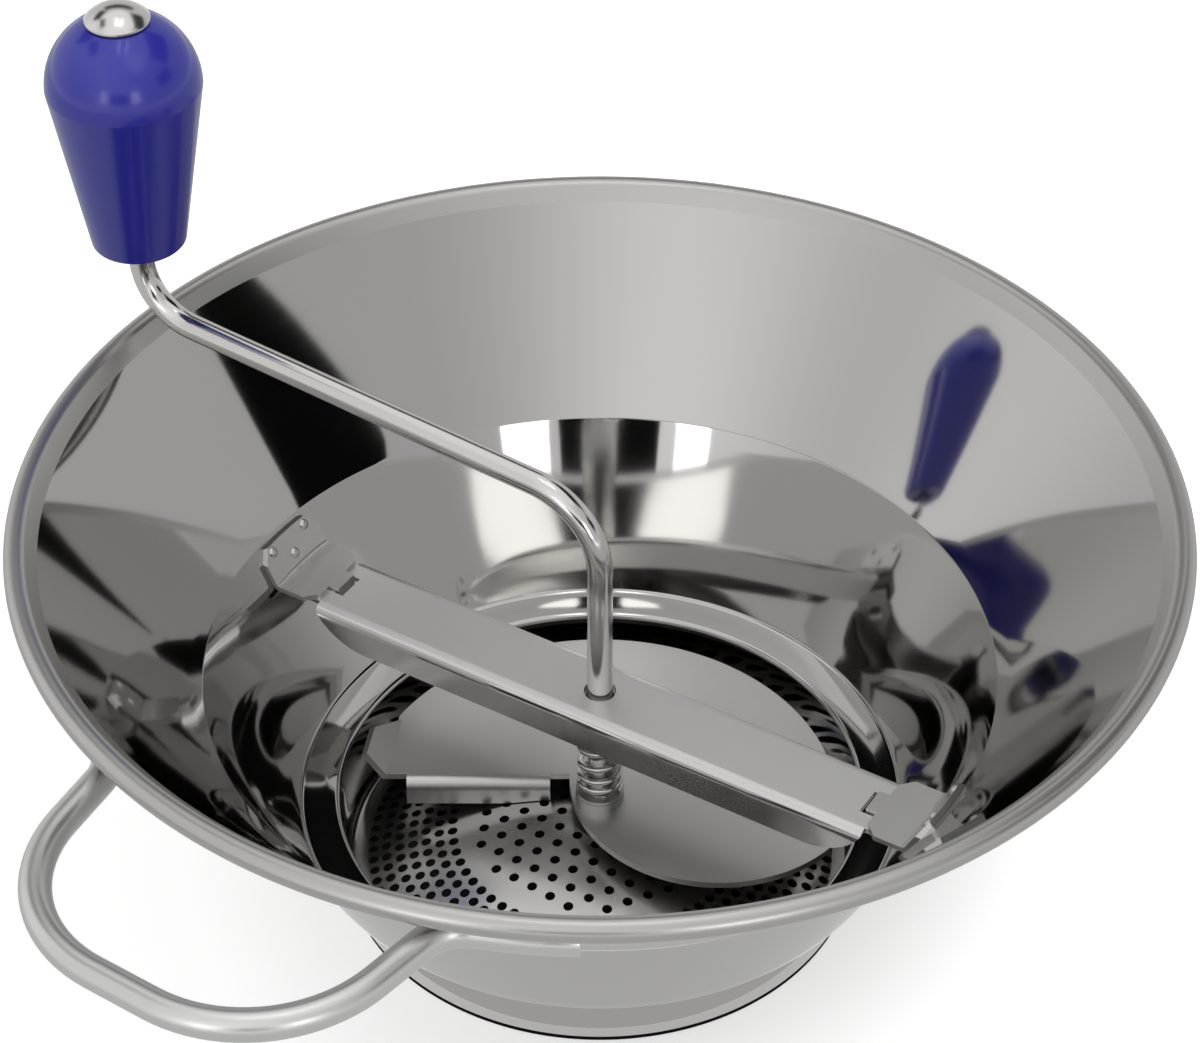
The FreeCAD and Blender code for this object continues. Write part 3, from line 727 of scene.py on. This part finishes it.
@dataclass
class Handle:
    """The carrying handle: one wire bent to a loop, with feet that follow the bowl."""

    bowl: Bowl
    radius: float = 4.0 * MM
    drop: float = 9.0 * MM
    reach: float = 39.4 * MM
    half_width: float = 42.6 * MM
    corner_bend: float = 38.4 * MM
    lean: float = math.radians(6.9)
    foot_bend: float = 13.0 * MM
    foot_angle: float = math.radians(32.3)
    sink: float = 0.5 * MM
    turn: float = math.radians(-2.3)
    join_gap: float = 0.05 * MM
    end_round: float = 0.5 * MM

    def path(self) -> tuple[Vector, Vector, list[Run | Bend]]:
        """The right half of the loop, from its foot's end to the middle of the front.

        Returns:
            Where the wire starts, the way it leaves, and its runs and bends.
        """
        height = self.bowl.rim[1] - self.drop
        slope = math.sin(self.bowl.flare_angle())
        foot = self.bowl.flare_outside(height) + (self.radius - self.sink) / slope
        front = -(self.bowl.rim[0] + self.reach)
        leg = Vector((math.sin(self.lean), math.cos(self.lean), 0.0))
        side = Vector((leg.y, -leg.x, 0.0))
        corner = Vector((self.half_width, front, height))
        offset = Vector((corner.x, corner.y, 0.0)) + side * self.foot_bend
        along = offset.dot(leg)
        spread = foot + self.foot_bend
        travel = -along - math.sqrt(along ** 2 - offset.length_squared + spread ** 2)
        centre = offset + leg * travel
        level = Vector((0.0, 0.0, height))
        first = self.foot_angle - math.pi / 2
        meet = math.atan2(centre.y, centre.x)
        start = Vector((foot * math.cos(first), foot * math.sin(first), height))
        way = Vector((math.sin(first), -math.cos(first), 0.0))
        bend_way = Vector((math.sin(meet), -math.cos(meet), 0.0))
        leg_start = centre - side * self.foot_bend + level
        turn_angle = (-leg).angle(Vector((-1.0, 0.0, 0.0)))
        reach = self.corner_bend * math.tan(turn_angle / 2)
        leg_end = corner + leg * reach
        front_start = corner + Vector((-reach, 0.0, 0.0))
        moves = [
            Bend(level, UP, meet - first),
            Bend(centre + level, UP, bend_way.angle(-leg)),
            Run(leg_end - leg_start),
            Bend(leg_end - side * self.corner_bend, UP, -turn_angle),
            Run(Vector((-front_start.x, 0.0, 0.0))),
        ]
        return start, way, moves

    def build(self) -> bpy.types.Object:
        """Bends the right half, mirrors it and turns the loop to its place.

        Returns:
            The finished handle.
        """
        piece = bent_rod("wire_handle", self.radius, *self.path())
        mirror = piece.modifiers.new("other half", "MIRROR")
        mirror.use_clip = True
        mirror.merge_threshold = self.join_gap
        apply_all(piece)
        close_ends(piece)
        soften(piece, self.end_round, ROD_END_ANGLE)
        piece.rotation_euler.z = self.turn
        settle(piece)
        smooth(piece, SHARP_ROUND)
        dress(piece, WIRE_STEEL.material())
        return fit(piece, "bowl", "wire_steel", "handle")


@dataclass
class Brackets:
    """The two brackets inside the well, and their rivets."""

    edge: float = 0.25 * MM

    def build(self) -> None:
        """Gives both brackets and the rivets their own meshes."""
        steel = BRACKET_STEEL.material()
        for side in ("right", "left"):
            piece = sheet_copy(f"{side}_bracket_sheet", f"bracket_{side}", self.edge, SHARP_SHEET)
            dress(piece, steel)
            fit(piece, "bowl", "bracket_steel", f"bracket_{side}")
        rivets = sheet_copy("rivet_set", "bracket_rivets", 0.0, SHARP_SMALL)
        dress(rivets, steel)
        fit(rivets, "bowl", "bracket_steel", "bracket_rivets")


@dataclass
class Sieve:
    """The perforated dome."""

    def build(self) -> bpy.types.Object:
        """Gives the dome its own mesh with smooth sides.

        Returns:
            The finished sieve.
        """
        piece = sheet_copy("punched_dome", "sieve", 0.0, SHARP_SHEET)
        dress(piece, SIEVE_STEEL.material())
        return fit(piece, "bowl", "sieve_steel", "sieve")


@dataclass
class Crossbar:
    """The sprung channel across the well."""

    edge: float = 0.3 * MM

    def build(self) -> bpy.types.Object:
        """Gives the channel its own mesh with rounded edges.

        Returns:
            The finished bar.
        """
        piece = sheet_copy("bar_channel", "crossbar", self.edge, SHARP_BAR)
        dress(piece, BAR_STEEL.material())
        return fit(piece, "crossbar", "bar_steel", "crossbar")


@dataclass
class Spring:
    """The compression spring, as two lengths of wire that meet half-way up."""

    radius: float = 5.6 * MM
    wire: float = 0.9 * MM
    turns: float = 7.5
    end_pitch: float = 2.35 * MM
    seat_gap: float = 0.3 * MM
    sides: int = 16
    steps_per_turn: int = 32
    low: float = field(init=False)
    high: float = field(init=False)

    def __post_init__(self) -> None:
        """Takes the spring's two ends from the washers it stands between."""
        self.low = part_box("spring_seat")[1][2] + self.seat_gap + self.wire
        self.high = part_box("spring_top_washer")[0][2] - self.seat_gap - self.wire

    def point(self, turn: float) -> Vector:
        """A point of the wire's middle line, whose pitch closes up at both ends.

        Args:
            turn: Turns from the lower end.

        Returns:
            The point.
        """
        pitch = 2 * (self.high - self.low) / self.turns - self.end_pitch
        swell = turn / 2 - self.turns / (4 * math.pi) * math.sin(2 * math.pi * turn / self.turns)
        angle = 2 * math.pi * turn
        height = self.low + self.end_pitch * turn + (pitch - self.end_pitch) * swell
        return Vector((self.radius * math.cos(angle), self.radius * math.sin(angle), height))

    def length(self, name: str, first: float, last: float) -> bpy.types.Object:
        """Winds one length of the spring.

        Args:
            name: The piece's name.
            first: The turn at which it starts.
            last: The turn at which it ends.

        Returns:
            The wound length, closed at both ends.
        """
        count = round((last - first) * self.steps_per_turn)
        step = (last - first) / count
        way = self.point(first + step) - self.point(first - step)
        piece = bent_rod(name, self.wire, self.point(first), way, [], self.sides)
        shape_mode(True)
        bpy.ops.mesh.select_all(action="SELECT")
        for index in range(count):
            here, there = self.point(first + index * step), self.point(first + (index + 1) * step)
            bpy.ops.mesh.extrude_region_move(TRANSFORM_OT_translate={"value": (0.0, 0.0, there.z - here.z)})
            bpy.ops.transform.rotate(
                value=-2 * math.pi * step, orient_axis="Z", center_override=(0.0, 0.0, there.z)
            )
        shape_mode(False)
        close_ends(piece)
        smooth(piece, SHARP_SMALL)
        return piece

    def build(self) -> None:
        """Winds both lengths in place, without tying them to a body."""
        steel = SPRING_STEEL.material()
        foot, crown = (0.0, 0.0, self.low), (0.0, 0.0, self.high)
        for name, first, last, body, end in (
            ("spring_lower", 0.0, self.turns / 2, "spring_seat", foot),
            ("spring_upper", self.turns / 2, self.turns, "crossbar", crown),
        ):
            piece = self.length(name, first, last)
            dress(piece, steel)
            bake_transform(piece)
            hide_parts("spring")
            LOG.info("%s between bowl and %s", name, body)


@dataclass
class Crank:
    """The bent rod, the blade on its foot and the grip on its spindle."""

    rod: float = 3.5 * MM
    arm_reach: float = 148.0 * MM
    arm_corner: float = 124.3 * MM
    arm_rise: float = 10.5 * MM
    shaft_bend: float = 22.0 * MM
    spindle_bend: float = 17.0 * MM
    knob_foot: float = 12.9 * MM
    knob_radius: float = 21.0 * MM
    knob_cone: float = 49.2 * MM
    foot_round: float = 1.0 * MM
    recess: Flat = (7.0 * MM, 5.0 * MM)
    cap_radius: float = 8.75 * MM
    cap_edge: float = 0.8 * MM
    cap_bevel: float = 0.3 * MM
    rod_end: float = 0.8 * MM
    bore_gap: float = 0.05 * MM
    blade_edge: float = 0.3 * MM
    foot_fine: float = 5.0
    knob_steps: int = 26
    knob_sides: int = 128
    cap_steps: int = 24
    cap_sides: int = 96

    def spindle(self) -> Vector:
        """A point on the grip's axis."""
        return Vector((-self.arm_reach, 0.0, 0.0))

    def build_rod(self) -> bpy.types.Object:
        """Bends the rod from its foot to the spindle's end.

        Returns:
            The finished rod.
        """
        low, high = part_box("crank_rod")
        elbow = self.arm_corner + self.arm_rise
        points = [
            Vector((0.0, 0.0, low[2])),
            Vector((0.0, 0.0, self.arm_corner)),
            Vector((-self.arm_reach, 0.0, elbow)),
            Vector((-self.arm_reach, 0.0, high[2])),
        ]
        moves = rod_moves(points, [self.shaft_bend, self.spindle_bend])
        piece = bent_rod("bent_crank", self.rod, points[0], UP, moves)
        close_ends(piece)
        soften(piece, self.rod_end, ROD_END_ANGLE)
        smooth(piece, SHARP_ROUND)
        dress(piece, ROD_STEEL.material())
        return fit(piece, "crank", "rod_steel", "crank_rod")

    def build_knob(self) -> bpy.types.Object:
        """Turns the grip: a cone on a rounded foot under a half-sphere.

        Returns:
            The finished grip.
        """
        low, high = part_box("knob")
        foot, top = low[2], high[2]
        equator = foot + self.knob_cone
        bore = self.rod + self.bore_gap
        crown = math.degrees(math.asin((top - equator) / self.knob_radius))
        corners = [(self.recess[0], foot), (self.knob_foot, foot), (self.knob_radius, equator)]
        side = rounded(corners, [self.foot_round], self.foot_fine)
        dome = round_arc((0.0, equator), self.knob_radius, 0.0, crown, self.knob_steps)
        inside = [
            (bore, top),
            (bore, foot + self.recess[1]),
            (self.recess[0], foot + self.recess[1]),
            side[0],
        ]
        piece = lathe("grip", side + dome[1:] + inside, self.knob_sides, self.spindle())
        smooth(piece, SHARP_GRIP)
        dress(piece, KNOB_BLUE.material())
        return fit(piece, "knob", "knob_blue", "knob")

    def build_cap(self) -> bpy.types.Object:
        """Turns the domed cap on the spindle's end.

        Returns:
            The finished cap.
        """
        low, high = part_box("knob_cap")
        bottom, crown = low[2], high[2]
        edge = bottom + self.cap_edge
        rise = crown - edge
        sphere = (self.cap_radius ** 2 + rise ** 2) / (2 * rise)
        spread = math.degrees(math.asin(self.cap_radius / sphere))
        dome = round_arc((0.0, crown - sphere), sphere, 90.0 - spread, 90.0, self.cap_steps)
        flat = self.cap_radius - self.cap_bevel
        profile = [(0.0, bottom), (flat, bottom), (self.cap_radius, bottom + self.cap_bevel)]
        piece = lathe("grip_cap", profile + dome, self.cap_sides, self.spindle())
        smooth(piece, SHARP_ROUND)
        dress(piece, CAP_STEEL.material())
        return fit(piece, "crank", "cap_chrome", "knob_cap")

    def build_blade(self) -> bpy.types.Object:
        """Gives the blade its own mesh with rounded edges.

        Returns:
            The finished blade.
        """
        piece = sheet_copy("sweep_blade", "blade", self.blade_edge, SHARP_SHEET)
        dress(piece, BLADE_STEEL.material())
        return fit(piece, "crank", "blade_steel", "blade")

    def build(self) -> None:
        """Makes every piece that turns with the crank."""
        self.build_rod()
        self.build_knob()
        self.build_cap()
        self.build_blade()


@dataclass
class Washers:
    """The small turned pieces that keep their solids."""

    nodes: tuple[str, ...] = (
        "spring_top_washer", "spring_seat", "blade_washer", "knob_washer", "knob_stop_ring", "blade_hub",
    )

    def build(self) -> None:
        """Gives each small piece its finish."""
        steel = WASHER_STEEL.material()
        for name in self.nodes:
            dress(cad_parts[name], steel)
            LOG.info("%s keeps its solid", name)


# The studio


@dataclass(frozen=True)
class Glow:
    """A soft bright stretch of the wall: its direction in degrees, its strength and how narrow it is."""

    azimuth: float
    strength: float
    power: float


@dataclass
class Studio:
    """The floor, the cards that the steel mirrors, the lamps and the camera."""

    target: Vector = field(default_factory=lambda: Vector((0.0, 0.0, 121.1 * MM)))
    azimuth: float = math.radians(31.7)
    elevation: float = math.radians(39.25)
    distance: float = 900.0 * MM
    lens: float = 102.8
    sensor: float = 36.0
    floor_size: float = 12.0
    floor_white: float = 0.92
    # How dark the floor is painted inside the mill's foot: painted shade under the mill.
    painted_foot_shade: float = 0.02
    floor_glow: float = 0.42
    floor_roughness: float = 0.9
    foot_radius: float = 72.0 * MM
    floor_ring_radius: float = 1.2
    floor_ring_gap: float = 4.0 * MM
    floor_ring_lift: float = 0.2 * MM
    ambient: float = 0.5
    wall_radius: float = 2.6
    wall_height: float = 3.7
    round_sides: int = 96
    lamp_distance: float = 1.5
    wall_glows: tuple[Glow, ...] = (Glow(12.0, 0.46, 4.0), Glow(-72.0, 0.28, 6.0))

    def direction(self, azimuth: float, elevation: float) -> Vector:
        """The way from the mill to a place on the studio's sky, with angles counted as the camera's are."""
        level = math.cos(elevation)
        return Vector((math.sin(azimuth) * level, -math.cos(azimuth) * level, math.sin(elevation)))

    def build_camera(self) -> None:
        """Sets the camera at the photograph's viewing angle."""
        away = self.direction(self.azimuth, self.elevation)
        data = bpy.data.cameras.new("camera")
        data.lens = self.lens
        data.sensor_width = self.sensor
        camera = bpy.data.objects.new("camera", data)
        camera.location = self.target + away * self.distance
        camera.rotation_euler = (-away).to_track_quat("-Z", "Y").to_euler()
        bpy.context.scene.collection.objects.link(camera)
        bpy.context.scene.camera = camera

    def seen(self, tree: bpy.types.NodeTree) -> bpy.types.NodeSocket:
        """Tells what the camera sees, also in mirrors and through clear things, from what only lights.

        Args:
            tree: The node tree of a material or the world.

        Returns:
            One for camera, mirrored and passed-through rays, and nought for the rest.
        """
        path = tree.nodes.new("ShaderNodeLightPath").outputs
        mirrored = calc(tree, "MAXIMUM", path["Is Glossy Ray"], path["Is Transmission Ray"])
        return calc(tree, "MAXIMUM", path["Is Camera Ray"], mirrored)

    def build_world(self) -> None:
        """A white room for the camera and for reflections, and a lower level of light for the rest."""
        world = bpy.data.worlds.new("studio")
        world.use_nodes = True
        tree = world.node_tree
        strength = calc(tree, "MAXIMUM", self.seen(tree), self.ambient)
        background = tree.nodes["Background"]
        background.inputs["Color"].default_value = (1.0, 1.0, 1.0, 1.0)
        link(tree, strength, background.inputs["Strength"])
        bpy.context.scene.world = world

    def build_floor(self) -> None:
        """A plain white floor that keeps the mill's shadow, with painted shade inside the mill's foot."""
        unselect()
        bpy.ops.mesh.primitive_plane_add(size=self.floor_size)
        floor = bpy.context.object
        floor.name = "floor"
        material = bpy.data.materials.new("white floor")
        material.use_nodes = True
        tree = material.node_tree
        shader = tree.nodes["Principled BSDF"]
        shader.inputs["Roughness"].default_value = self.floor_roughness
        shader.inputs["Specular IOR Level"].default_value = 0.0
        place = tree.nodes.new("ShaderNodeTexCoord").outputs["Object"]
        away = tree.nodes.new("ShaderNodeVectorMath")
        away.operation = "LENGTH"
        link(tree, place, away.inputs[0])
        open_floor = calc(tree, "GREATER_THAN", away.outputs["Value"], self.foot_radius)
        # Inside the mill's foot the floor is painted near black as shade under the mill.
        paint = calc(tree, "MULTIPLY", open_floor, self.floor_white - self.painted_foot_shade)
        link(tree, calc(tree, "ADD", paint, self.painted_foot_shade), shader.inputs["Base Color"])
        bright = calc(tree, "MULTIPLY", self.seen(tree), open_floor)
        glow = calc(tree, "MULTIPLY", bright, self.floor_glow)
        link(tree, glow, shader.inputs["Emission Color"])
        shader.inputs["Emission Strength"].default_value = 1.0
        dress(floor, material)

    def card(
        self, name: str, tone: Card, azimuth: float, elevation: float, size: Flat, distance: float = 1.6
    ) -> None:
        """Hangs a card that faces the mill.

        Args:
            name: The card's name.
            tone: How bright it looks.
            azimuth: Its direction, in degrees, counted as the camera's is.
            elevation: Its height angle, in degrees.
            size: Its width and height.
            distance: How far it hangs from the mill.
        """
        away = self.direction(math.radians(azimuth), math.radians(elevation))
        unselect()
        turn = away.to_track_quat("Z", "Y").to_euler()
        bpy.ops.mesh.primitive_plane_add(size=1.0, location=self.target + away * distance, rotation=turn)
        card = bpy.context.object
        card.scale = (size[0], size[1], 1.0)
        self.hang(card, name, tone)

    def hang(self, card: bpy.types.Object, name: str, tone: Card) -> None:
        """Makes an object a card that only the steel sees.

        Args:
            card: The object.
            name: Its new name.
            tone: How bright it looks.
        """
        card.name = name
        card.visible_camera = False
        card.visible_diffuse = False
        card.visible_shadow = False
        material = bpy.data.materials.new(name)
        material.use_nodes = True
        shader = material.node_tree.nodes["Principled BSDF"]
        shader.inputs["Base Color"].default_value = (0.0, 0.0, 0.0, 1.0)
        shader.inputs["Specular IOR Level"].default_value = 0.0
        shader.inputs["Emission Color"].default_value = (tone.value, tone.value, tone.value, 1.0)
        shader.inputs["Emission Strength"].default_value = 1.0
        dress(card, material)

    def light_wall(self, tree: bpy.types.NodeTree) -> None:
        """Lets the wall grow softly brighter in some directions.

        Args:
            tree: The wall card's node tree.
        """
        place = tree.nodes.new("ShaderNodeTexCoord").outputs["Object"]
        level: object = Card.GREY.value
        for glow in self.wall_glows:
            facing = tree.nodes.new("ShaderNodeVectorMath")
            facing.operation = "DOT_PRODUCT"
            way = self.direction(math.radians(glow.azimuth), 0.0)
            facing.inputs[1].default_value = way / self.wall_radius
            link(tree, place, facing.inputs[0])
            ahead = calc(tree, "MAXIMUM", facing.outputs["Value"], 0.0)
            near = calc(tree, "POWER", ahead, glow.power)
            level = calc(tree, "ADD", calc(tree, "MULTIPLY", near, glow.strength), level)
        link(tree, level, tree.nodes["Principled BSDF"].inputs["Emission Color"])

    def floor_ring(self) -> bpy.types.Object:
        """A flat ring just over the floor, outside the mill's foot.

        Returns:
            The ring.
        """
        unselect()
        inside = self.foot_radius + self.floor_ring_gap
        middle = (0.0, 0.0, self.floor_ring_lift)
        bpy.ops.mesh.primitive_circle_add(vertices=self.round_sides, radius=inside, location=middle)
        ring = bpy.context.object
        shape_mode(True)
        bpy.ops.mesh.select_all(action="SELECT")
        bpy.ops.mesh.extrude_region_move()
        widen = self.floor_ring_radius / inside
        bpy.ops.transform.resize(value=(widen, widen, 1.0))
        shape_mode(False)
        return ring

    def build_cards(self) -> None:
        """Hangs the room that the steel mirrors: grey walls, a pale ceiling, dark flags and strip lights."""
        unselect()
        bpy.ops.mesh.primitive_cylinder_add(
            vertices=self.round_sides, radius=self.wall_radius, depth=self.wall_height,
            end_fill_type="NOTHING", location=(0.0, 0.0, self.wall_height / 2),
        )
        wall = bpy.context.object
        self.hang(wall, "wall_card", Card.GREY)
        self.light_wall(wall.data.materials[0].node_tree)
        self.hang(self.floor_ring(), "floor_card", Card.GREY)
        front = math.degrees(self.azimuth)
        self.card("ceiling_card", Card.PALE, azimuth=front, elevation=88.0, size=(2.4, 2.4), distance=1.9)
        back = front + 180.0
        self.card("top_flag", Card.BLACK, azimuth=back, elevation=88.5, size=(0.15, 0.62), distance=1.8)
        for name, azimuth in (("top_left_strip", front - 90.0), ("top_right_strip", front + 90.0)):
            self.card(name, Card.LIGHT, azimuth, elevation=85.6, size=(0.66, 0.13), distance=1.8)
        self.card("camera_flag", Card.BLACK, azimuth=29.0, elevation=13.5, size=(0.78, 0.42))
        self.card("left_strip", Card.LIGHT, azimuth=5.0, elevation=15.0, size=(0.26, 0.5))
        self.card("right_strip", Card.LIGHT, azimuth=53.0, elevation=15.0, size=(0.36, 0.5))
        self.card("right_flag", Card.BLACK, azimuth=110.5, elevation=24.0, size=(0.74, 0.46))
        self.card("back_right_flag", Card.BLACK, azimuth=152.0, elevation=46.0, size=(1.2, 0.75))
        self.card("back_flag", Card.BLACK, azimuth=220.0, elevation=38.0, size=(1.1, 0.42))
        self.card("left_flag", Card.BLACK, azimuth=-98.0, elevation=40.0, size=(0.6, 0.45))
        self.card("front_left_flag", Card.BLACK, azimuth=-66.0, elevation=55.0, size=(0.55, 0.3))

    def lamp(self, name: str, azimuth: float, elevation: float, size: float, power: float) -> None:
        """Adds a square soft lamp that faces the mill.

        Args:
            name: The lamp's name.
            azimuth: Its direction, in degrees.
            elevation: Its height angle, in degrees.
            size: Its side.
            power: Its power in watts.
        """
        away = self.direction(math.radians(azimuth), math.radians(elevation))
        data = bpy.data.lights.new(name, "AREA")
        data.size = size
        data.energy = power
        lamp = bpy.data.objects.new(name, data)
        lamp.location = self.target + away * self.lamp_distance
        lamp.visible_glossy = False
        lamp.rotation_euler = (-away).to_track_quat("-Z", "Y").to_euler()
        bpy.context.scene.collection.objects.link(lamp)

    def build(self) -> None:
        """Sets up the whole studio."""
        bpy.context.scene.view_settings.view_transform = "Standard"
        self.build_camera()
        self.build_world()
        self.build_floor()
        self.build_cards()
        self.lamp("key_lamp", azimuth=75.0, elevation=62.0, size=0.7, power=14.0)
        self.lamp("fill_lamp", azimuth=-40.0, elevation=50.0, size=0.9, power=7.0)


def main() -> None:
    """Builds every piece in order."""
    logging.basicConfig(level=logging.INFO, format="%(name)s: %(message)s")
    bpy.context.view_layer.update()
    bowl = Bowl()
    bowl.build()
    Handle(bowl).build()
    Brackets().build()
    Sieve().build()
    Crossbar().build()
    Spring().build()
    Crank().build()
    Washers().build()
    Studio().build()


if __name__ == "__main__":
    main()
